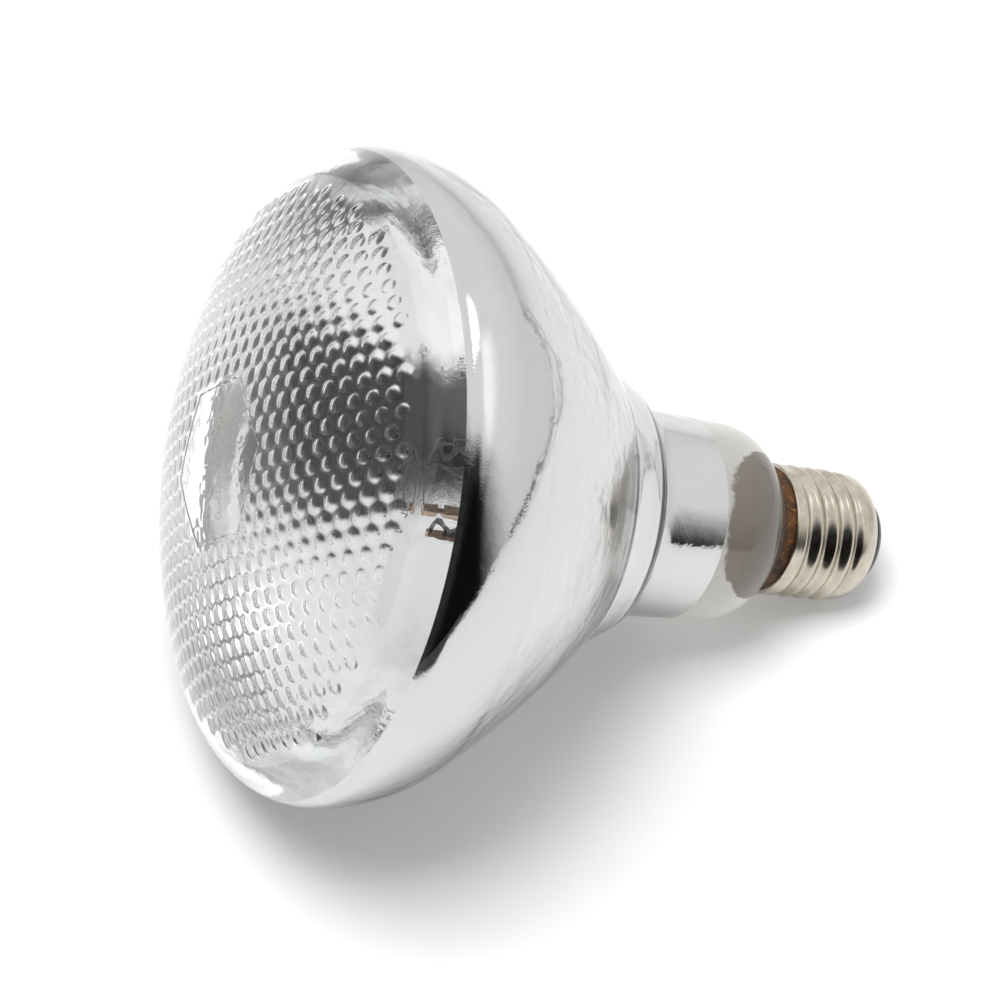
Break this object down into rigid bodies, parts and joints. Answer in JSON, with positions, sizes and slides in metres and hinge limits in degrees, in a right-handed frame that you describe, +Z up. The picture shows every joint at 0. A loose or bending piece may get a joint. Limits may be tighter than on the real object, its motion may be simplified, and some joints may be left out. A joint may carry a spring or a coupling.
{
  "type": "infrared heat bulb",
  "caption": "Reflector heat bulb of hard glass with a dimpled lens, a six-sided clear window, a silvered bowl and a screw cap, lying on its side.",
  "frame": {"origin": "on the surface the bulb lies on, under the middle of its bounding box", "axes": "+X along the bulb as it lies, from the lens to the cap, +Z up; the bulb's own axis lies in the XZ plane and dips towards the cap by 25.4 degrees"},
  "size_m": [0.1432, 0.123, 0.1162],
  "materials": {
    "lens_glass": "clear, pressed, dimpled inside",
    "bowl_glass": "clear, smooth",
    "aluminium_film": "bright vacuum-laid film",
    "stem_glass": "clear, fire-polished",
    "support_wire": "drawn, dull",
    "coil_wire": "drawn, dull grey",
    "lead_metal": "copper-coloured, heat-tinted",
    "cement": "rough, fired brown",
    "cap_metal": "rolled, nickel-coloured",
    "black_glass": "glossy black",
    "contact_brass": "stamped",
    "solder": "dull, soldered"
  },
  "bodies": {
    "root": {"front_lens": "lens_glass", "reflector_bowl": "bowl_glass", "mirror_coating": "aluminium_film", "stem_flare": "stem_glass", "exhaust_tube": "stem_glass", "arbor_rod": "stem_glass", "filament_supports": "support_wire", "filament": "coil_wire", "inner_leads": "lead_metal", "shell_lead": "lead_metal", "contact_lead": "lead_metal", "cap_cement": "cement", "cap_shell": "cap_metal", "cap_insulator": "black_glass", "centre_contact": "contact_brass", "contact_solder": "solder"}
  },
  "joints": []
}
